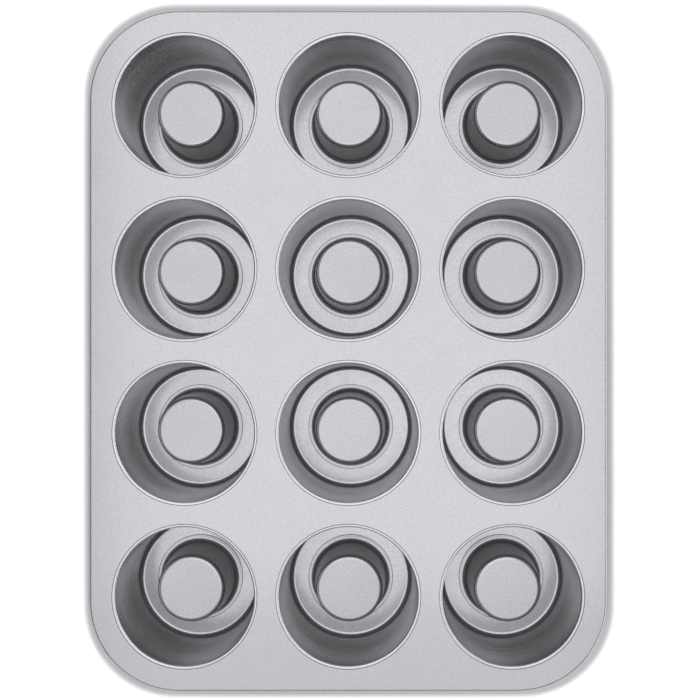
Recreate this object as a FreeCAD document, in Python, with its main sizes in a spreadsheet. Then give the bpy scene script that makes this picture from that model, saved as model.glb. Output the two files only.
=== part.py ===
"""Twelve-cup muffin tin with a raised core in every cup, in millimetres.

The tin stands on the undersides of its cup floors, with the origin at the middle of that resting
plane, +Z up, its rows of cups one behind the other along Y and its columns side by side along X.

A frame sheet carries everything. Its flat deck has one round hole for each cup, and round each hole
a sunk seat that turns down into a short collar. A drawn cup hangs in each hole, its lip lying nearly
flush in the seat and its tapered wall held by the collar, which follows the wall's slope. Each cup's
floor has a hole with a standing collar, the spigot, and a drawn cap, the core, fits over the spigot
with its brim flat on the floor. Outside the deck the sheet bends into a flared skirt, and the
skirt's lower edge is rolled round a steel wire.
"""
import FreeCAD, Part
import math
import os
import Sketcher

# Driving dimensions: lengths in millimetres, angles in degrees.
SIZES = {
    # layout
    "cup_columns": 3,
    "cup_rows": 4,
    "cup_pitch": 83,
    "deck_margin": 46.4,
    "deck_corner_radius": 43.8,
    # sheet and wire
    "frame_sheet": 0.5,
    "cup_sheet": 0.4,
    "core_sheet": 0.4,
    "wire_diameter": 1.8,
    "fit_clearance": 0.05,
    # skirt and roll round the deck
    "skirt_angle": 53,
    "skirt_bend_radius": 1.2,
    "rim_reach": 4.1,
    "roll_wrap": 290,
    # seat and collar round each hole of the deck
    "seat_gap": 0.03,
    "seat_step_angle": 75,
    "seat_corner_radius": 0.1,
    "seat_rounding": 0.15,
    "seat_border": 0.8,
    "collar_length": 4.2,
    # cup
    "cup_depth": 35,
    "mouth_radius": 35.2,
    "cup_taper": 2.6,
    "floor_fillet": 2.1,
    "lip_bend_radius": 1.2,
    "lip_land": 0.1,
    "lip_drop": 0.05,
    # collar standing on each cup's floor, inside the core
    "spigot_height": 3,
    "spigot_bend_radius": 1,
    # core
    "core_height": 22.2,
    "core_foot_radius": 20.1,
    "core_taper": 2.75,
    "core_foot_fillet": 2.1,
    "core_top_rounding": 2.4,
    "brim_width": 3.2,
    "brim_edge_rounding": 0.3,
}


class Length:
    """A value together with the spreadsheet formula that gives it."""

    def __init__(self, value, formula):
        self.value = value
        self.formula = formula

    def __add__(self, other):
        other = as_length(other)
        return Length(self.value + other.value, f"({self.formula} + {other.formula})")

    def __sub__(self, other):
        other = as_length(other)
        return Length(self.value - other.value, f"({self.formula} - {other.formula})")

    def __mul__(self, other):
        other = as_length(other)
        return Length(self.value * other.value, f"{self.formula} * {other.formula}")

    def __truediv__(self, other):
        other = as_length(other)
        return Length(self.value / other.value, f"{self.formula} / {other.formula}")

    def __neg__(self):
        return Length(-self.value, f"(-{self.formula})")


def as_length(number):
    """A plain number as a Length, so that both can stand in one formula."""
    if isinstance(number, Length):
        return number
    return Length(number, str(number))


def sine(angle):
    return Length(math.sin(math.radians(angle.value)), f"sin({angle.formula})")


def cosine(angle):
    return Length(math.cos(math.radians(angle.value)), f"cos({angle.formula})")


def tangent(angle):
    return Length(math.tan(math.radians(angle.value)), f"tan({angle.formula})")


doc = FreeCAD.newDocument("muffin_tin")

# The sheet of driving dimensions, and each of them as a Length of the same name.
sheet = doc.addObject("Spreadsheet::Sheet", "Sizes")
for line, (alias, number) in enumerate(SIZES.items(), start=1):
    sheet.set(f"A{line}", alias)
    sheet.set(f"B{line}", str(number))
    sheet.setAlias(f"B{line}", alias)
doc.recompute()
size = {alias: Length(float(getattr(sheet, alias)), f"Sizes.{alias}") for alias in SIZES}

# Deck outline, and the levels that several pieces share.
half_width = size["cup_pitch"] * (size["cup_columns"] - 1) / 2 + size["deck_margin"]
half_length = size["cup_pitch"] * (size["cup_rows"] - 1) / 2 + size["deck_margin"]
deck_level = size["cup_depth"] + size["cup_sheet"]
lip_level = deck_level - size["lip_drop"]
seat_level = lip_level - size["cup_sheet"]

# Centre of the rolled edge, measured outward from the edge of the flat deck and down from its top.
roll_inner_radius = size["wire_diameter"] / 2 + size["fit_clearance"]
roll_outer_radius = roll_inner_radius + size["frame_sheet"]
skirt_corner = size["skirt_bend_radius"] * tangent(size["skirt_angle"] / 2)
roll_reach = size["rim_reach"] - roll_outer_radius
skirt_run = roll_reach + roll_outer_radius * sine(size["skirt_angle"]) - skirt_corner
roll_level = deck_level - skirt_run * tangent(size["skirt_angle"])
roll_level = roll_level - roll_outer_radius * cosine(size["skirt_angle"])

# Radii that the cup, its seat and its collar share. The level seat ends seat_gap beyond the lip, and
# the step's underside lies further out than its top side, so that the sheet keeps its thickness.
# The collar runs down parallel to the outside of the cup's wall, fit_clearance away from it.
lip_radius = size["mouth_radius"] + size["lip_bend_radius"] + size["lip_land"]
half_step = tangent(size["seat_step_angle"] / 2)
seat_radius = lip_radius + size["seat_gap"] + size["seat_corner_radius"] * half_step
step_radius = seat_radius + (deck_level - seat_level) / tangent(size["seat_step_angle"])
underside_shift = size["frame_sheet"] * half_step
hole_radius = step_radius + underside_shift + size["seat_border"]
collar_radius = size["mouth_radius"] + size["cup_sheet"] + size["fit_clearance"]
collar_tip_radius = collar_radius - size["cup_taper"] * size["collar_length"] / seat_level
collar_bend_radius = size["lip_bend_radius"] - size["cup_sheet"]
collar_end = seat_level - size["collar_length"]


def origin_plane(body, role):
    """The body's own origin plane with this role, such as XY_Plane."""
    return next(plane for plane in body.Origin.OriginFeatures if plane.Role == role)


def new_body(name, right=0, back=0):
    """An empty body whose Placement is tied to these lengths."""
    body = doc.addObject("PartDesign::Body", name)
    body.Label = name
    body.setExpression("Placement.Base.x", as_length(right).formula)
    body.setExpression("Placement.Base.y", as_length(back).formula)
    return body


def new_sketch(body, role, name, level=None):
    """A sketch on the body's own plane, raised to this level if one is given."""
    sketch = body.newObject("Sketcher::SketchObject", name)
    sketch.AttachmentSupport = [(origin_plane(body, role), "")]
    sketch.MapMode = "FlatFace"
    if level is not None:
        sketch.setExpression("AttachmentOffset.Base.z", level.formula)
    return sketch


def bind(sketch, name, constraint, length):
    """Add a named dimension to the sketch and tie it to the length's formula."""
    index = sketch.addConstraint(constraint)
    sketch.renameConstraint(index, name)
    sketch.setExpression(f"Constraints.{name}", length.formula)


def draw_outline(sketch, corners, arcs=()):
    """Draw the closed outline through the corners, in order.

    A corner is (across, up, rounding radius), with radius 0 where it stays sharp. The side that
    starts at a corner is straight, unless arcs names it: arcs maps the corner's number to
    (centre across, centre up, radius, direction), where direction is 1 anticlockwise and -1 clockwise.
    """
    arcs = dict(arcs)
    corners = [tuple(as_length(part) for part in corner) for corner in corners]
    points = [FreeCAD.Vector(across.value, up.value, 0) for across, up, _ in corners]
    for number, start in enumerate(points):
        end = points[(number + 1) % len(points)]
        if number in arcs:
            across, up, radius, direction = arcs[number]
            centre = FreeCAD.Vector(across.value, up.value, 0)
            circle = Part.Circle(centre, FreeCAD.Vector(0, 0, 1), radius.value)
            first, last = (start, end) if direction > 0 else (end, start)
            side = Part.ArcOfCircle(circle, circle.parameter(first), circle.parameter(last))
        else:
            side = Part.LineSegment(start, end)
        sketch.addGeometry(side, False)

    # An arc that runs clockwise from its corner has that corner as its end point.
    clockwise = {number for number, arc in arcs.items() if arc[3] < 0}
    for number in range(len(points)):
        following = (number + 1) % len(points)
        end_point = 1 if number in clockwise else 2
        start_point = 2 if following in clockwise else 1
        sketch.addConstraint(Sketcher.Constraint("Coincident", number, end_point, following, start_point))
    for number, (across, up, _) in enumerate(corners):
        point = 2 if number in clockwise else 1
        bind(sketch, f"across{number}",
             Sketcher.Constraint("DistanceX", -1, 1, number, point, across.value), across)
        bind(sketch, f"up{number}",
             Sketcher.Constraint("DistanceY", -1, 1, number, point, up.value), up)
    for number, arc in arcs.items():
        bind(sketch, f"radius{number}", Sketcher.Constraint("Radius", number, arc[2].value), arc[2])
    for number, (_, _, rounding) in enumerate(corners):
        if rounding.value > 0:
            arc_number = sketch.GeometryCount
            sketch.fillet(number, 1, rounding.value, True, True)
            bind(sketch, f"rounding{number}",
                 Sketcher.Constraint("Radius", arc_number, rounding.value), rounding)


def revolve(body, corners, name):
    """Add the solid that this half section sweeps round the body's Z axis."""
    section = new_sketch(body, "XZ_Plane", f"{name}_section")
    draw_outline(section, corners)
    turned = body.newObject("PartDesign::Revolution", name)
    turned.Profile = section
    turned.ReferenceAxis = (section, ["V_Axis"])
    turned.Angle = 360
    doc.recompute()
    return turned


def draw_loop(body, name, beyond, level):
    """A sketch of the deck's rounded outline, moved outward by beyond, at this level.

    The loop starts in the middle of the right side, where the sections of the rim are drawn.
    """
    right = half_width + beyond
    back = half_length + beyond
    rounding = size["deck_corner_radius"] + beyond
    loop = new_sketch(body, "XY_Plane", name, level)
    draw_outline(loop, [
        (right, 0, 0),
        (right, back, rounding),
        (-right, back, rounding),
        (-right, -back, rounding),
        (right, -back, rounding),
    ])
    return loop


def sweep(body, section, loop, name):
    """Add the solid that an upright section makes along a level loop."""
    pipe = body.newObject("PartDesign::AdditivePipe", name)
    pipe.Profile = section
    pipe.Spine = loop
    pipe.Mode = "Standard"
    doc.recompute()
    return pipe


def draw_rim_section(body):
    """Section of the bend, the flared skirt and the roll, from just inside the deck's edge outward."""
    angle = size["skirt_angle"]
    thickness = size["frame_sheet"]
    inner_edge = half_width - size["skirt_bend_radius"]
    centre_across = half_width + roll_reach
    tip_angle = as_length(90) - angle - size["roll_wrap"]

    def on_roll(radius, direction_angle):
        across = centre_across + radius * cosine(direction_angle)
        up = roll_level + radius * sine(direction_angle)
        return across, up, 0

    section = new_sketch(body, "XZ_Plane", "rim_section")
    corners = [
        (inner_edge, deck_level, 0),
        (half_width + skirt_corner, deck_level, size["skirt_bend_radius"]),
        on_roll(roll_outer_radius, as_length(90) - angle),
        on_roll(roll_outer_radius, tip_angle),
        on_roll(roll_inner_radius, tip_angle),
        on_roll(roll_inner_radius, as_length(90) - angle),
        (half_width + skirt_corner - thickness * tangent(angle / 2), deck_level - thickness,
         size["skirt_bend_radius"] - thickness),
        (inner_edge, deck_level - thickness, 0),
    ]
    draw_outline(section, corners, {
        2: (centre_across, roll_level, roll_outer_radius, -1),
        4: (centre_across, roll_level, roll_inner_radius, 1),
    })
    return section


def make_frame():
    """The frame sheet: deck, rim, and a seat with its collar round each of the holes."""
    body = new_body("frame")

    # Flat deck.
    deck = body.newObject("PartDesign::Pad", "deck")
    deck.Profile = draw_loop(body, "deck_outline", as_length(0), deck_level)
    deck.setExpression("Length", size["frame_sheet"].formula)
    deck.Reversed = True
    doc.recompute()

    # Skirt and rolled edge, swept round the deck.
    sweep(body, draw_rim_section(body), draw_loop(body, "rim_loop", as_length(0), deck_level), "rim")

    # First hole, at the front left, cut through the deck.
    first_right = size["cup_pitch"] * (as_length(1) - size["cup_columns"]) / 2
    first_back = size["cup_pitch"] * (as_length(1) - size["cup_rows"]) / 2
    circle_sketch = new_sketch(body, "XY_Plane", "hole_circle", deck_level)
    middle = FreeCAD.Vector(first_right.value, first_back.value, 0)
    circle = Part.Circle(middle, FreeCAD.Vector(0, 0, 1), hole_radius.value)
    circle_sketch.addGeometry(circle, False)
    bind(circle_sketch, "right",
         Sketcher.Constraint("DistanceX", -1, 1, 0, 3, first_right.value), first_right)
    bind(circle_sketch, "back",
         Sketcher.Constraint("DistanceY", -1, 1, 0, 3, first_back.value), first_back)
    bind(circle_sketch, "radius", Sketcher.Constraint("Radius", 0, hole_radius.value), hole_radius)
    hole = body.newObject("PartDesign::Pocket", "hole")
    hole.Profile = circle_sketch
    hole.Type = "ThroughAll"
    hole.Midplane = True
    doc.recompute()

    # The seat steps down from the deck, runs level under the cup's lip and turns into the collar.
    thickness = size["frame_sheet"]
    seat_section = new_sketch(body, "XZ_Plane", "seat_section")
    seat_section.setExpression("AttachmentOffset.Base.x", first_right.formula)
    seat_section.setExpression("AttachmentOffset.Base.z", (-first_back).formula)
    draw_outline(seat_section, [
        (hole_radius, deck_level, 0),
        (step_radius, deck_level, size["seat_rounding"]),
        (seat_radius, seat_level, size["seat_corner_radius"]),
        (collar_radius, seat_level, collar_bend_radius),
        (collar_tip_radius, collar_end, 0),
        (collar_tip_radius + thickness, collar_end, 0),
        (collar_radius + thickness, seat_level - thickness, collar_bend_radius - thickness),
        (seat_radius + underside_shift, seat_level - thickness, size["seat_rounding"]),
        (step_radius + underside_shift, deck_level - thickness, size["seat_rounding"]),
        (hole_radius, deck_level - thickness, 0),
    ])
    seat = body.newObject("PartDesign::Revolution", "seat")
    seat.Profile = seat_section
    seat.ReferenceAxis = (seat_section, ["V_Axis"])
    seat.Angle = 360
    doc.recompute()

    # Every other hole and seat, column by column and row by row.
    grid = body.newObject("PartDesign::LinearPattern", "hole_grid")
    grid.Originals = [hole, seat]
    grid.Direction = (circle_sketch, ["H_Axis"])
    grid.setExpression("Length", (size["cup_pitch"] * (size["cup_columns"] - 1)).formula)
    grid.setExpression("Occurrences", size["cup_columns"].formula)
    grid.Direction2 = (circle_sketch, ["V_Axis"])
    grid.setExpression("Length2", (size["cup_pitch"] * (size["cup_rows"] - 1)).formula)
    grid.setExpression("Occurrences2", size["cup_rows"].formula)
    body.Tip = grid
    doc.recompute()
    return body


def make_rim_wire():
    """The round wire inside the rolled edge."""
    body = new_body("rim_wire")
    section = new_sketch(body, "XZ_Plane", "wire_section")
    across = half_width + roll_reach
    radius = size["wire_diameter"] / 2
    middle = FreeCAD.Vector(across.value, roll_level.value, 0)
    section.addGeometry(Part.Circle(middle, FreeCAD.Vector(0, 0, 1), radius.value), False)
    bind(section, "across", Sketcher.Constraint("DistanceX", -1, 1, 0, 3, across.value), across)
    bind(section, "up", Sketcher.Constraint("DistanceY", -1, 1, 0, 3, roll_level.value), roll_level)
    bind(section, "radius", Sketcher.Constraint("Radius", 0, radius.value), radius)
    sweep(body, section, draw_loop(body, "wire_loop", roll_reach, roll_level), "wire")
    return body


def make_cup(name, right, back):
    """One drawn cup: lip, tapered wall, floor, and the spigot that stands in the floor's hole."""
    body = new_body(name, right, back)
    thickness = size["cup_sheet"]
    mouth = size["mouth_radius"]
    floor = mouth - size["cup_taper"]

    # Spigot: it clears the inside of the tapering core up to its own top.
    spigot_top = thickness + size["spigot_height"]
    spigot = size["core_foot_radius"] - size["core_sheet"] - size["fit_clearance"]
    spigot = spigot - size["core_taper"] * size["spigot_height"] / size["core_height"]

    revolve(body, [
        # food side, from the lip's edge down to the spigot's top
        (lip_radius, lip_level, 0),
        (mouth, lip_level, size["lip_bend_radius"]),
        (floor, thickness, size["floor_fillet"]),
        (spigot, thickness, size["spigot_bend_radius"]),
        (spigot, spigot_top, 0),
        # underside, back up to the lip
        (spigot - thickness, spigot_top, 0),
        (spigot - thickness, 0, size["spigot_bend_radius"] + thickness),
        (floor + thickness, 0, size["floor_fillet"] + thickness),
        (mouth + thickness, lip_level - thickness, size["lip_bend_radius"] - thickness),
        (lip_radius, lip_level - thickness, 0),
    ], "cup_shell")
    return body


def make_core(name, right, back):
    """One drawn cap: brim on the cup's floor, tapering wall and flat top."""
    body = new_body(name, right, back)
    thickness = size["core_sheet"]
    base = size["cup_sheet"]
    top = base + size["core_height"]
    foot = size["core_foot_radius"]
    shoulder = foot - size["core_taper"]
    brim = foot + size["brim_width"]
    revolve(body, [
        (brim, base + thickness, size["brim_edge_rounding"]),
        (foot, base + thickness, size["core_foot_fillet"]),
        (shoulder, top, size["core_top_rounding"]),
        (0, top, 0),
        (0, top - thickness, 0),
        (shoulder - thickness, top - thickness, size["core_top_rounding"] - thickness),
        (foot - thickness, base, size["core_foot_fillet"] + thickness),
        (brim, base, 0),
    ], "core_shell")
    return body


parts = [make_frame(), make_rim_wire()]
for row in range(int(size["cup_rows"].value)):
    for column in range(int(size["cup_columns"].value)):
        place = f"row{row + 1}_col{column + 1}"
        right = size["cup_pitch"] * (as_length(column) - (size["cup_columns"] - 1) / 2)
        back = size["cup_pitch"] * ((size["cup_rows"] - 1) / 2 - row)
        parts.append(make_cup(f"cup_{place}", right, back))
        parts.append(make_core(f"core_{place}", right, back))

doc.recompute()
for item in doc.Objects:
    if "Invalid" in item.State or "Error" in item.State:
        raise RuntimeError(f"{item.Name} could not be built: {item.State}")
for part in parts:
    if part.Shape.isNull() or not part.Shape.isValid() or len(part.Shape.Solids) != 1:
        raise RuntimeError(f"{part.Label} is not one sound solid")

os.makedirs("parts", exist_ok=True)
for part in parts:
    part.Shape.exportStep(f"parts/{part.Label}.step")
    print(f"{part.Label}: {part.Shape.Volume:.1f} cubic mm, {part.Shape.optimalBoundingBox()}")
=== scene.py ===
"""Twelve-cup muffin tin with a raised core in every cup, coated light grey, on a white table.

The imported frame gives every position. Each section below makes one kind of piece, in the order in
which the tin is put together: frame sheet, rim wire, cups, cores.
"""
import math

import bmesh
import bpy
import numpy as np
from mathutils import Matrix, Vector


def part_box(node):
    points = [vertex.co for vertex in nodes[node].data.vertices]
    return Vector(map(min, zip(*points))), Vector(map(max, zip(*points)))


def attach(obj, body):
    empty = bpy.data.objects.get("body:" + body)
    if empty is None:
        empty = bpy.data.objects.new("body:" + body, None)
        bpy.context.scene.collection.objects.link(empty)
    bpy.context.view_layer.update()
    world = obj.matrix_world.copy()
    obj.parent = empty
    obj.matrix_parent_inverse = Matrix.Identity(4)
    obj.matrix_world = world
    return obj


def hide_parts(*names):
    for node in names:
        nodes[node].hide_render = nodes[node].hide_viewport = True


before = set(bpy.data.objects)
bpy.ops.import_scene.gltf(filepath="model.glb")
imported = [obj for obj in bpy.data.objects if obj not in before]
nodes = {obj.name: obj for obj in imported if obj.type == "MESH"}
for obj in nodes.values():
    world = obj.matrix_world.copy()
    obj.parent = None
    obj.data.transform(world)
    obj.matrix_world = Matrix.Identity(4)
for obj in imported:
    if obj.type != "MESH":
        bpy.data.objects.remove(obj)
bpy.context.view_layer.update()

# ---- Frame sheet ----
# One pressed steel sheet carries the twelve cups. Its flat deck has a hole for each cup, round every
# hole a sunk seat that turns down into a collar, and round the deck a flared skirt rolled over a wire.

MM = 0.001
frame_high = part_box("frame")[1]
deck_level = frame_high.z
sheet = 0.5 * MM
skirt_angle = math.radians(59.2)
skirt_bend = 1.2 * MM
rim_reach = 3.5 * MM
roll_outside = 1.45 * MM
roll_wrap = math.radians(290)
roll_steps = 20
deck_corner = 44.4 * MM
flat_right = frame_high.x - rim_reach
flat_back = frame_high.y - rim_reach

cup_names = sorted(name for name in nodes if name.startswith("cup_"))
cup_centres = {name: (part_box(name)[0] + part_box(name)[1]) / 2 for name in cup_names}
first_cup_low, first_cup_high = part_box(cup_names[0])
lip_radius = (first_cup_high.x - first_cup_low.x) / 2
lip_level = first_cup_high.z
lip_bend = 0.9 * MM
lip_land = 0.4 * MM
mouth = lip_radius - lip_bend - lip_land
cup_sheet = 0.4 * MM
column_places = sorted({round(centre.x, 4) for centre in cup_centres.values()})
pitch = column_places[1] - column_places[0]

flatness = 0.004 * MM
guard = 0.12 * MM
merge_distance = 0.002 * MM
shortest_edge = 0.001 * MM
sharp_turn = math.radians(35)
ray_count = 96


def rounded_path(corners, closed=True):
    """The path through the corners, each (across, up, radius), with every corner rounded.

    A corner's arc starts radius * tan(turn / 2) before the corner. Turned by an angle a from there,
    its point is the start + radius * (sin a along the first side + (1 - cos a) towards the second).
    The arc's chords stray from it by no more than flatness. One more point lies a guard's length
    before and after each arc, so that the flats beside it shade flat.
    """
    corners = np.array(corners, float)
    count = len(corners)
    path = []
    for number, (across, up, radius) in enumerate(corners):
        here = np.array((across, up))
        at_end = not closed and number in (0, count - 1)
        if radius <= 0 or at_end:
            path.append(here[None, :])
            continue
        before = here - corners[number - 1, :2]
        after = corners[(number + 1) % count, :2] - here
        before /= np.linalg.norm(before)
        after /= np.linalg.norm(after)
        cross = before[0] * after[1] - before[1] * after[0]
        turn = math.atan2(abs(cross), float(before @ after))
        inward = np.sign(cross) * np.array((-before[1], before[0]))
        start = here - before * radius * math.tan(turn / 2)
        end = here + after * radius * math.tan(turn / 2)
        step = 2 * math.acos(1 - flatness / radius)
        angles = np.linspace(0, turn, max(2, math.ceil(turn / step)) + 1)[:, None]
        arc = start + radius * (np.sin(angles) * before + (1 - np.cos(angles)) * inward)
        path.append(np.vstack((start - before * guard, arc, end + after * guard)))
    return np.vstack(path)


def grid_faces(rows, columns, wrap_rows):
    """Quads that join each point of a grid to the next column, which wraps, and to the next row."""
    row = np.arange(rows if wrap_rows else rows - 1)[:, None]
    column = np.arange(columns)[None, :]
    next_row = (row + 1) % rows
    next_column = (column + 1) % columns
    corners = (row * columns + column, row * columns + next_column,
               next_row * columns + next_column, next_row * columns + column)
    return np.stack(corners, axis=-1).reshape(-1, 4)


def make_piece(name, points, faces, material):
    """An object of this mesh: doubles merged, smooth but for edges that turn by over sharp_turn."""
    mesh = bpy.data.meshes.new(name)
    mesh.from_pydata(points.reshape(-1, 3).tolist(), [], faces.tolist())
    work = bmesh.new()
    work.from_mesh(mesh)
    bmesh.ops.remove_doubles(work, verts=work.verts, dist=merge_distance)
    bmesh.ops.dissolve_degenerate(work, edges=work.edges, dist=shortest_edge)
    work.to_mesh(mesh)
    work.free()
    mesh.shade_smooth()
    mesh.set_sharp_from_angle(angle=sharp_turn)
    mesh.materials.append(material)
    piece = bpy.data.objects.new(name, mesh)
    bpy.context.scene.collection.objects.link(piece)
    return piece


def new_group(name, inputs, outputs):
    """An empty shader node group, with each named socket's kind, and the nodes at its two ends."""
    group = bpy.data.node_groups.new(name, "ShaderNodeTree")
    for in_out, sockets in (("INPUT", inputs), ("OUTPUT", outputs)):
        for socket_name, kind in sockets.items():
            group.interface.new_socket(socket_name, in_out=in_out, socket_type="NodeSocket" + kind)
    return group, group.nodes.new("NodeGroupInput"), group.nodes.new("NodeGroupOutput")


def feed(tree, value, socket):
    """Link another node's output to a socket, or set the socket to a constant."""
    if isinstance(value, bpy.types.NodeSocket):
        tree.links.new(value, socket)
    else:
        socket.default_value = value


def calculated(tree, operation, *values):
    """What a Math node makes of these numbers, each a constant or another node's output."""
    node = tree.nodes.new("ShaderNodeMath")
    node.operation = operation
    for value, socket in zip(values, node.inputs):
        feed(tree, value, socket)
    return node.outputs["Value"]


def vector_calculated(tree, operation, *values):
    """The node that does this operation on these vectors."""
    node = tree.nodes.new("ShaderNodeVectorMath")
    node.operation = operation
    for value, socket in zip(values, node.inputs):
        feed(tree, value, socket)
    return node


def scaled_colour(tree, colour, factor):
    """The colour times the factor."""
    node = vector_calculated(tree, "SCALE", colour)
    feed(tree, factor, node.inputs["Scale"])
    return node.outputs["Vector"]


def ramped(tree, value, start, end, at_start, at_end, interpolation="LINEAR"):
    """A value that goes from at_start to at_end while the given one goes from start to end."""
    node = tree.nodes.new("ShaderNodeMapRange")
    node.interpolation_type = interpolation
    names = ("Value", "From Min", "From Max", "To Min", "To Max")
    for name, number in zip(names, (value, start, end, at_start, at_end)):
        feed(tree, number, node.inputs[name])
    return node.outputs["Result"]


def noise(tree, place, scale, detail, roughness=0.5):
    """Noise between 0 and 1 at a place, its grains about 1 / scale across."""
    node = tree.nodes.new("ShaderNodeTexNoise")
    feed(tree, place, node.inputs["Vector"])
    feed(tree, scale, node.inputs["Scale"])
    node.inputs["Detail"].default_value = detail
    node.inputs["Roughness"].default_value = roughness
    return node.outputs["Fac"]


def object_place(tree):
    """Where a point of the piece lies, in metres in the frame, because each piece sits at the origin."""
    return tree.nodes.new("ShaderNodeTexCoord").outputs["Object"]


def coating_group():
    """Sprayed coating: tiny droplets in its colour, a slower cloudiness, and an orange-peel height.

    The colour is scaled by 1 - Contrast to 1 + Contrast as droplets + cloud_share * clouds goes from
    its low to its high end. Roughness is the given one + Gloss Spread * (clouds - middle).
    """
    group, given, result = new_group(
        "sprayed_coating",
        {"Colour": "Color", "Droplet Size": "Float", "Contrast": "Float", "Gloss Spread": "Float",
         "Roughness": "Float"},
        {"Colour": "Color", "Roughness": "Float", "Height": "Float"})
    clouds_per_metre = 60
    cloud_share = 0.35
    low_end = 0.35
    high_end = 1.0
    middle = 0.5
    place = object_place(group)
    droplets_per_metre = calculated(group, "DIVIDE", 1, given.outputs["Droplet Size"])
    droplets = noise(group, place, droplets_per_metre, detail=2, roughness=0.6)
    clouds = noise(group, place, clouds_per_metre, detail=3)
    mottle = calculated(group, "MULTIPLY_ADD", clouds, cloud_share, droplets)
    darkest = calculated(group, "SUBTRACT", 1, given.outputs["Contrast"])
    lightest = calculated(group, "ADD", 1, given.outputs["Contrast"])
    shade = ramped(group, mottle, low_end, high_end, darkest, lightest)
    feed(group, scaled_colour(group, given.outputs["Colour"], shade), result.inputs["Colour"])
    centred = calculated(group, "SUBTRACT", clouds, middle)
    gloss = calculated(group, "MULTIPLY_ADD", centred, given.outputs["Gloss Spread"],
                       given.outputs["Roughness"])
    feed(group, gloss, result.inputs["Roughness"])
    feed(group, droplets, result.inputs["Height"])
    return group


def drawn_lines_group():
    """Faint lines that drawing leaves round a wall: noise that is quick in height and slow around.

    The noise is read at the place divided by Length in X and Y, and by Spacing in Z.
    """
    group, given, result = new_group("drawn_lines", {"Spacing": "Float", "Length": "Float"},
                                     {"Height": "Float"})
    grain = group.nodes.new("ShaderNodeCombineXYZ")
    for axis, name in (("X", "Length"), ("Y", "Length"), ("Z", "Spacing")):
        feed(group, given.outputs[name], grain.inputs[axis])
    stretched = vector_calculated(group, "DIVIDE", object_place(group), grain.outputs["Vector"])
    lines = noise(group, stretched.outputs["Vector"], scale=1, detail=3, roughness=0.6)
    feed(group, lines, result.inputs["Height"])
    return group


def painted_highlight_group():
    """Painted highlight along an edge: a colour factor of 1 + Gain at height Level, back to 1 at Width from
    it.
    """
    group, given, result = new_group("painted_highlight_band", {"Level": "Float", "Width": "Float", "Gain": "Float"},
                                     {"Factor": "Float"})
    height = group.nodes.new("ShaderNodeSeparateXYZ")
    feed(group, object_place(group), height.inputs["Vector"])
    above = calculated(group, "SUBTRACT", height.outputs["Z"], given.outputs["Level"])
    away = calculated(group, "ABSOLUTE", above)
    brightest = calculated(group, "ADD", 1, given.outputs["Gain"])
    feed(group, ramped(group, away, 0, given.outputs["Width"], brightest, 1), result.inputs["Factor"])
    return group


sprayed_coating = coating_group()
drawn_lines = drawn_lines_group()
painted_highlight_band = painted_highlight_group()


def place_group(tree, group, values):
    """A node in a material that stands for this group, with these values on its inputs."""
    node = tree.nodes.new("ShaderNodeGroup")
    node.node_tree = group
    for name, value in values.items():
        node.inputs[name].default_value = value
    return node


def bumped(tree, height, strength, distance):
    """The Bump node that turns the normal by this height."""
    node = tree.nodes.new("ShaderNodeBump")
    node.inputs["Strength"].default_value = strength
    node.inputs["Distance"].default_value = distance
    feed(tree, height, node.inputs["Height"])
    return node


metal_share = 0.85
gloss_spread = 0.1
line_spacing = 1.4 * MM
line_length = 60 * MM
line_low = 0.3
line_high = 0.7
peel_strength = 0.02
peel_depth = 0.1 * MM
# A band with no gain paints no highlight.
no_painted_highlight = {"Level": 0, "Width": 1, "Gain": 0}


def coated_steel(name, colour, roughness, speckle, droplet_size=0.9 * MM, line_depth=0, edge_tint=1,
                 edge=no_painted_highlight):
    """Light grey non-stick coating over steel, with the sheet's drawing lines showing through it.

    Speckle is the contrast of the droplets. The lines are line_depth deep, and scale the colour by
    1 - line_shade to 1 + line_shade, which is that depth in millimetres.
    """
    material = bpy.data.materials.new(name)
    material.use_nodes = True
    tree = material.node_tree
    shader = tree.nodes["Principled BSDF"]
    shader.inputs["Metallic"].default_value = metal_share
    shader.inputs["Specular Tint"].default_value = (edge_tint, edge_tint, edge_tint, 1)
    coat = place_group(tree, sprayed_coating, {
        "Colour": (*colour, 1), "Droplet Size": droplet_size, "Contrast": speckle,
        "Gloss Spread": gloss_spread, "Roughness": roughness})
    lines = place_group(tree, drawn_lines, {"Spacing": line_spacing, "Length": line_length})
    # Painted highlight: the colour is brightened in a thin band at one height, given by edge.
    painted_highlight = place_group(tree, painted_highlight_band, edge)
    line_shade = line_depth / MM
    streaks = ramped(tree, lines.outputs["Height"], line_low, line_high, 1 - line_shade, 1 + line_shade)
    shade = calculated(tree, "MULTIPLY", streaks, painted_highlight.outputs["Factor"])
    feed(tree, scaled_colour(tree, coat.outputs["Colour"], shade), shader.inputs["Base Color"])
    feed(tree, coat.outputs["Roughness"], shader.inputs["Roughness"])
    line_bump = bumped(tree, lines.outputs["Height"], 1, line_depth)
    orange_peel = bumped(tree, coat.outputs["Height"], peel_strength, peel_depth)
    feed(tree, line_bump.outputs["Normal"], orange_peel.inputs["Normal"])
    feed(tree, orange_peel.outputs["Normal"], shader.inputs["Normal"])
    return material


coating_colour = (0.357, 0.357, 0.361)
deck_finish = coated_steel("deck_coating", coating_colour, roughness=0.18, speckle=0.08, edge_tint=0.45)

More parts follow.
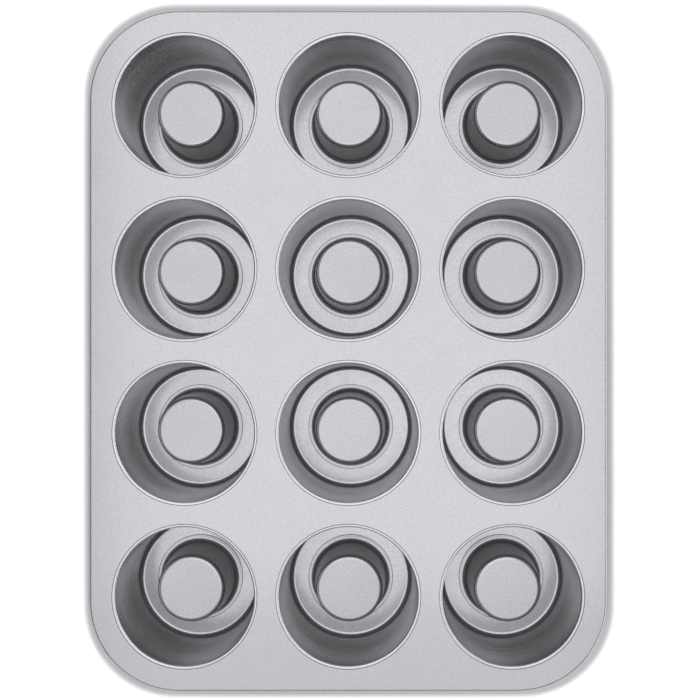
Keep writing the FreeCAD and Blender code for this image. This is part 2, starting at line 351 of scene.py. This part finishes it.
# Seat and collar: sections from the flat deck inward and down, then back out along the underside.
seat_level = lip_level - cup_sheet
seat_step = math.radians(75)
lip_gap = 0.18 * MM
seat_corner = 0.1 * MM
seat_rounding = 0.15 * MM
seat_radius = lip_radius + lip_gap + seat_corner * math.tan(seat_step / 2)
step_radius = seat_radius + (deck_level - seat_level) / math.tan(seat_step)
underside_shift = sheet * math.tan(seat_step / 2)
seat_border = 0.8 * MM
seat_edge = step_radius + underside_shift + seat_border
clearance = 0.05 * MM
collar_radius = mouth + cup_sheet + clearance
collar_bend = lip_bend - cup_sheet
collar_length = 4.2 * MM
collar_end = seat_level - collar_length
steep_depth = 15 * MM
steep_taper = 0.3 * MM
collar_tip = collar_radius - steep_taper * collar_length / steep_depth
seat_path = rounded_path([
    (seat_edge, deck_level, 0),
    (step_radius, deck_level, seat_rounding),
    (seat_radius, seat_level, seat_corner),
    (collar_radius, seat_level, collar_bend),
    (collar_tip, collar_end, 0),
    (collar_tip + sheet, collar_end, 0),
    (collar_radius + sheet, seat_level - sheet, 0),
    (seat_radius + underside_shift, seat_level - sheet, seat_rounding),
    (step_radius + underside_shift, deck_level - sheet, seat_rounding),
    (seat_edge, deck_level - sheet, 0),
], closed=False)

# The deck is one tile per cup. Rays at these angles from a cup's centre meet its tile's border, and
# the angles of the tile corners and of the deck's rounded corners are among them.
edge_inset = 0.3 * MM
inset_right = flat_right - edge_inset
inset_back = flat_back - edge_inset
inset_corner = deck_corner - edge_inset
margin = inset_right - column_places[-1]
bend_start = margin - inset_corner
first_angles = [0, math.atan2(pitch / 2, margin), math.atan2(bend_start, margin)]
even_angles = np.linspace(0, 2 * math.pi, ray_count, endpoint=False)
special = np.concatenate([[angle, math.pi / 2 - angle] for angle in first_angles])
special = np.concatenate([special, math.pi - special, math.pi + special, -special]) % (2 * math.pi)
ray_angles = np.unique(np.round(np.concatenate([even_angles, special]), 9))
ray = np.stack((np.cos(ray_angles), np.sin(ray_angles)), axis=-1)
rounding_error = 1e-9


def tile_border(centre):
    """Where the rays from a cup's centre leave its tile.

    A tile ends half a pitch from the centre where another cup follows, and at the deck's edge
    elsewhere: the distance along a ray is the least of the distances to those four straight lines.
    Where that lies in a rounded corner of the deck, it is the distance to the corner's circle.
    """
    centre = np.array((centre.x, centre.y))
    deck = np.array((inset_right, inset_back))
    nearest = np.full(len(ray), np.inf)
    for axis in (0, 1):
        for side in (-1, 1):
            beyond = centre[axis] * side + pitch > deck[axis]
            line = deck[axis] - centre[axis] * side if beyond else pitch / 2
            along = ray[:, axis] * side
            distance = np.divide(line, along, out=np.full(len(ray), np.inf), where=along > rounding_error)
            nearest = np.minimum(nearest, distance)
    point = centre + nearest[:, None] * ray
    corner_centre = np.sign(point) * (deck - inset_corner)
    in_corner = (np.abs(point) > deck - inset_corner + rounding_error).all(axis=1)
    away = centre - corner_centre
    along = (away * ray).sum(axis=1)
    to_circle = np.sqrt(np.maximum(along ** 2 - (away ** 2).sum(axis=1) + inset_corner ** 2, 0)) - along
    reach = np.where(in_corner, to_circle, nearest)
    return centre + reach[:, None] * ray


def deck_tile(centre):
    """Grid of one tile: its border above, the seat and collar turned about the cup, its border below."""
    border = tile_border(centre)
    level = np.full((len(border), 1), deck_level)
    above = np.hstack((border, level))
    below = np.hstack((border, level - sheet))
    middle = np.array((centre.x, centre.y))
    flat = middle + seat_path[:, None, :1] * ray[None, :, :]
    height = np.broadcast_to(seat_path[:, None, 1:], flat.shape[:2] + (1,))
    return np.concatenate((above[None], np.concatenate((flat, height), axis=-1), below[None]))


# Rim: bend, skirt, and the roll's outer and inner arcs, as distances outward from the flat's edge.
roll_centre = rim_reach - roll_outside
roll_inside = roll_outside - sheet
skirt_corner = skirt_bend * math.tan(skirt_angle / 2)
skirt_run = roll_centre + roll_outside * math.sin(skirt_angle) - skirt_corner
roll_level = deck_level - skirt_run * math.tan(skirt_angle) - roll_outside * math.cos(skirt_angle)
roll_start = math.pi / 2 - skirt_angle
roll_turns = np.linspace(roll_start, roll_start - roll_wrap, roll_steps)[:, None]
roll_direction = np.hstack((np.cos(roll_turns), np.sin(roll_turns)))
roll_middle = np.array((roll_centre, roll_level))
outer_arc = roll_middle + roll_outside * roll_direction
inner_arc = roll_middle + roll_inside * roll_direction[::-1]
outer_bend = rounded_path([
    (-edge_inset, deck_level, 0),
    (skirt_corner, deck_level, skirt_bend),
    (outer_arc[0, 0], outer_arc[0, 1], 0),
], closed=False)[:-1]
inner_bend = rounded_path([
    (inner_arc[-1, 0], inner_arc[-1, 1], 0),
    (skirt_corner - sheet * math.tan(skirt_angle / 2), deck_level - sheet, skirt_bend - sheet),
    (-edge_inset, deck_level - sheet, 0),
], closed=False)[1:]
rim_path = np.vstack((outer_bend, outer_arc, inner_arc, inner_bend))

# The rim starts at those points of the tiles' borders that lie on the deck's edge, in order round it.
# Outward is square to the side there, and away from the corner's centre on a rounded corner.
tiles = [deck_tile(centre) for centre in cup_centres.values()]
border_points = np.concatenate([tile[0, :, :2] for tile in tiles])
corner_middle = np.array((inset_right, inset_back)) - inset_corner
same_place = 1e-7
from_corner = np.abs(border_points) - corner_middle
on_side = np.isclose(from_corner, inset_corner, atol=same_place)
in_round = (from_corner > same_place).all(axis=1)
on_round = in_round & np.isclose(np.linalg.norm(from_corner, axis=1), inset_corner, atol=same_place)
on_edge = on_round | (on_side.any(axis=1) & ~in_round)
edge_points = np.unique(np.round(border_points[on_edge], 8), axis=0)
edge_points = edge_points[np.argsort(-np.arctan2(edge_points[:, 1], edge_points[:, 0]))]
from_corner = np.abs(edge_points) - corner_middle
outward = np.where((from_corner > same_place).all(axis=1)[:, None], from_corner,
                   np.isclose(from_corner, inset_corner, atol=same_place).astype(float))
outward = np.sign(edge_points) * outward / np.linalg.norm(outward, axis=1)[:, None]


def rim_grid():
    """Grid of the rim: each point of its section, moved outward from each point of the deck's edge."""
    offset = (rim_path[:, 0] + edge_inset)[:, None, None]
    flat = edge_points[None] + offset * outward[None]
    height = np.broadcast_to(rim_path[:, None, 1:], flat.shape[:2] + (1,))
    return np.concatenate((flat, height), axis=-1)


rim = rim_grid()
grids = tiles + [rim]
faces = []
first = 0
for grid in grids:
    faces.append(grid_faces(grid.shape[0], grid.shape[1], False) + first)
    first += grid.shape[0] * grid.shape[1]
all_points = np.concatenate([grid.reshape(-1, 3) for grid in grids])
frame_sheet = make_piece("frame_sheet", all_points, np.concatenate(faces), deck_finish)
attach(frame_sheet, "root")
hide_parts("frame")

# ---- Rim wire ----
# Round drawn steel wire, bent to the outline of the deck and laid in the roll before it is closed. It
# stiffens the edge of the sheet.

wire_finish = coated_steel("wire_steel", (0.5, 0.5, 0.5), roughness=0.3, speckle=0.08,
                           droplet_size=0.4 * MM)
nodes["rim_wire"].data.materials.clear()
nodes["rim_wire"].data.materials.append(wire_finish)

# ---- Cups ----
# Twelve cups, deep-drawn from thin steel sheet. The wall goes down almost upright from the lip and
# tapers more below, and a fine groove in the floor runs round the core's brim. Each cup hangs by its lip
# in a seat of the deck, held by the collar, which follows its wall.

sides = 120


def turned_grid(path, centre):
    """Grid of a path (radius, height) turned about an upright axis: row = path point, column = angle."""
    angle = np.linspace(0, 2 * math.pi, sides, endpoint=False)
    radius = path[:, :1]
    return np.stack((centre.x + radius * np.cos(angle), centre.y + radius * np.sin(angle),
                     path[:, 1:] + 0 * angle), axis=-1)


cup_taper = 2.6 * MM
floor_radius = mouth - cup_taper
floor_fillet = 2.1 * MM
wall_turn = mouth - steep_taper
wall_turn_level = lip_level - steep_depth
wall_turn_radius = 130 * MM

# The floor's hole has a standing collar, the spigot, that fits inside the core. So the core's own
# sizes come here.
core_names = sorted(name for name in nodes if name.startswith("core_"))
core_low, core_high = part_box(core_names[0])
core_sheet = 0.4 * MM
brim_radius = (core_high.x - core_low.x) / 2
brim_width = 3.2 * MM
core_foot = brim_radius - brim_width
core_taper = 2.75 * MM
groove_width = 0.3 * MM
groove_depth = 0.25 * MM
groove_edge = brim_radius + groove_width
groove_level = cup_sheet - groove_depth
spigot_height = 3 * MM
spigot_taper = core_taper * spigot_height / (core_high.z - core_low.z)
spigot = core_foot - core_sheet - clearance - spigot_taper
spigot_top = cup_sheet + spigot_height
spigot_bend = 1 * MM
cup_path = rounded_path([
    (lip_radius, lip_level, 0),
    (mouth, lip_level, lip_bend),
    (wall_turn, wall_turn_level, wall_turn_radius),
    (floor_radius, cup_sheet, floor_fillet),
    (groove_edge, cup_sheet, 0),
    (groove_edge, groove_level, 0),
    (brim_radius, groove_level, 0),
    (brim_radius, cup_sheet, 0),
    (spigot, cup_sheet, spigot_bend),
    (spigot, spigot_top, 0),
    (spigot - cup_sheet, spigot_top, 0),
    (spigot - cup_sheet, 0, spigot_bend + cup_sheet),
    (floor_radius + cup_sheet, 0, floor_fillet + cup_sheet),
    (wall_turn + cup_sheet, wall_turn_level, wall_turn_radius + cup_sheet),
    (mouth + cup_sheet, lip_level - cup_sheet, lip_bend - cup_sheet),
    (lip_radius, lip_level - cup_sheet, 0),
])
# The cup coating carries a painted highlight: its colour is brightened in a thin band just below the lip's
# top.
cup_finish = coated_steel(
    "cup_coating", coating_colour, roughness=0.22, speckle=0.13, line_depth=0.08 * MM,
    edge={"Level": lip_level - 0.1 * MM, "Width": 0.4 * MM, "Gain": 0.3})
for name, centre in cup_centres.items():
    grid = turned_grid(cup_path, centre)
    cup = make_piece(name + "_shell", grid, grid_faces(len(cup_path), sides, True), cup_finish)
    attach(cup, "root")
    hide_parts(name)

# ---- Cores ----
# A cap drawn from the same thin sheet stands over the hole in each cup's floor, its brim welded down.
# It keeps the middle of the cake hollow for a filling.

core_shoulder = core_foot - core_taper
foot_fillet = 2.1 * MM
top_rounding = 2.4 * MM
brim_rounding = 0.3 * MM
core_path = rounded_path([
    (0, core_high.z - core_sheet, 0),
    (core_shoulder - core_sheet, core_high.z - core_sheet, top_rounding - core_sheet),
    (core_foot - core_sheet, core_low.z, foot_fillet + core_sheet),
    (brim_radius, core_low.z, 0),
    (brim_radius, core_low.z + core_sheet, brim_rounding),
    (core_foot, core_low.z + core_sheet, foot_fillet),
    (core_shoulder, core_high.z, top_rounding),
    (0, core_high.z, 0),
], closed=False)
# The core coating carries a painted highlight: its colour is brightened in a thin band round the shoulder,
# just below the top.
core_finish = coated_steel(
    "core_coating", (0.328, 0.328, 0.331), roughness=0.22, speckle=0.13, line_depth=0.04 * MM,
    edge={"Level": core_high.z - 0.25 * MM, "Width": 0.24 * MM, "Gain": 0.35})
for name in core_names:
    low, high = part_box(name)
    grid = turned_grid(core_path, (low + high) / 2)
    core = make_piece(name + "_cap", grid, grid_faces(len(core_path), sides, False), core_finish)
    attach(core, "root")
    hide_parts(name)

# ---- Table, light and camera ----
# A white table under nine softboxes overhead, with a lit white card low down on three sides. The
# camera looks straight down on the tin.

table_half = 2.0
table_mesh = bpy.data.meshes.new("table")
table_mesh.from_pydata([(-table_half, -table_half, 0), (table_half, -table_half, 0),
                        (table_half, table_half, 0), (-table_half, table_half, 0)], [], [(0, 1, 2, 3)])
table = bpy.data.objects.new("table", table_mesh)
bpy.context.scene.collection.objects.link(table)


def contact_shadow_group():
    """White that darkens where the tin keeps the light off, with a soft edge Softness wide.

    The distance from a rounded rectangle is the length of (|place - Middle| - Half) with its negative
    parts set to zero, less Corner. White is Darkest at that distance 0 and 1 from Softness on.
    """
    group, given, result = new_group(
        "contact_shadow",
        {"Middle": "Vector", "Half": "Vector", "Corner": "Float", "Softness": "Float", "Darkest": "Float"},
        {"White": "Color"})
    from_middle = vector_calculated(group, "SUBTRACT", object_place(group), given.outputs["Middle"])
    folded = vector_calculated(group, "ABSOLUTE", from_middle.outputs["Vector"])
    beyond = vector_calculated(group, "SUBTRACT", folded.outputs["Vector"], given.outputs["Half"])
    outside = vector_calculated(group, "MAXIMUM", beyond.outputs["Vector"], (0, 0, 0))
    length = vector_calculated(group, "LENGTH", outside.outputs["Vector"])
    distance = calculated(group, "SUBTRACT", length.outputs["Value"], given.outputs["Corner"])
    white = ramped(group, distance, 0, given.outputs["Softness"], given.outputs["Darkest"], 1, "SMOOTHSTEP")
    feed(group, white, result.inputs["White"])
    return group


table_paper = bpy.data.materials.new("table_white")
table_paper.use_nodes = True
table_tree = table_paper.node_tree
table_shader = table_tree.nodes["Principled BSDF"]
table_shader.inputs["Roughness"].default_value = 1
table_shader.inputs["Specular IOR Level"].default_value = 0
table_shader.inputs["Emission Strength"].default_value = 0.34
shadow_reach = Vector((10.4 * MM, 14 * MM))
shadow_corner = deck_corner + rim_reach
shadow_half = (frame_high.x + shadow_reach.x - shadow_corner,
               frame_high.y + shadow_reach.y - shadow_corner, 0)
shadow = place_group(table_tree, contact_shadow_group(), {
    "Middle": (-0.8 * MM, 0.4 * MM, 0), "Half": shadow_half, "Corner": shadow_corner,
    "Softness": 5.2 * MM, "Darkest": 0.4})
feed(table_tree, shadow.outputs["White"], table_shader.inputs["Base Color"])
feed(table_tree, shadow.outputs["White"], table_shader.inputs["Emission Color"])
table_mesh.materials.append(table_paper)

world = bpy.data.worlds.new("studio")
world.use_nodes = True
daylight = (1.01, 1.0, 1.047)
world.node_tree.nodes["Background"].inputs["Color"].default_value = (*daylight, 1)
world.node_tree.nodes["Background"].inputs["Strength"].default_value = 0.24
bpy.context.scene.world = world


def softbox(name, place, aim, width, height, radiance):
    """A rectangular area light that shines at aim, its power being radiance * pi * width * height."""
    light = bpy.data.lights.new(name, "AREA")
    light.shape = "RECTANGLE"
    light.size = width
    light.size_y = height
    light.energy = radiance * math.pi * width * height
    light.color = daylight
    holder = bpy.data.objects.new(name, light)
    bpy.context.scene.collection.objects.link(holder)
    holder.location = place
    holder.rotation_euler = (Vector(aim) - Vector(place)).to_track_quat("-Z", "Y").to_euler()


overhead_height = 1.2
side_panel_place = 0.75
side_panel_width = 0.4
middle_panel_width = 1.1
for row, along, depth, radiances in (
        ("back", 0.7, 0.4, (1.17, 1.8, 0.5)),
        ("middle", 0, 1, (1.15, 1.72, 0.78)),
        ("front", -0.7, 0.4, (1.06, 1.37, 0.05))):
    panels = (("left", -side_panel_place, side_panel_width), ("middle", 0, middle_panel_width),
              ("right", side_panel_place, side_panel_width))
    for (column, across, width), radiance in zip(panels, radiances):
        softbox(f"overhead_{row}_{column}", (across, along, overhead_height), (across, along, 0),
                width, depth, radiance)
card_distance = 1.3
card_width = 2.6
card_height = 0.65
card_level = card_height / 2
for side, away, radiance in (("right", (1, 0), 3.1), ("back", (0, 1), 1.1), ("front", (0, -1), 0.85)):
    place = (away[0] * card_distance, away[1] * card_distance, card_level)
    softbox(f"{side}_card", place, (0, 0, card_level), card_width, card_height, radiance)

camera_height = 0.379
camera_data = bpy.data.cameras.new("camera")
camera_data.sensor_width = 36
camera_data.lens = 38.5
camera_data.shift_x = -0.0412
camera_data.shift_y = 0.0079
camera = bpy.data.objects.new("camera", camera_data)
camera.location = (0.0155, -0.0023, deck_level + camera_height)
bpy.context.scene.collection.objects.link(camera)
bpy.context.scene.camera = camera
bpy.context.scene.view_settings.view_transform = "Standard"
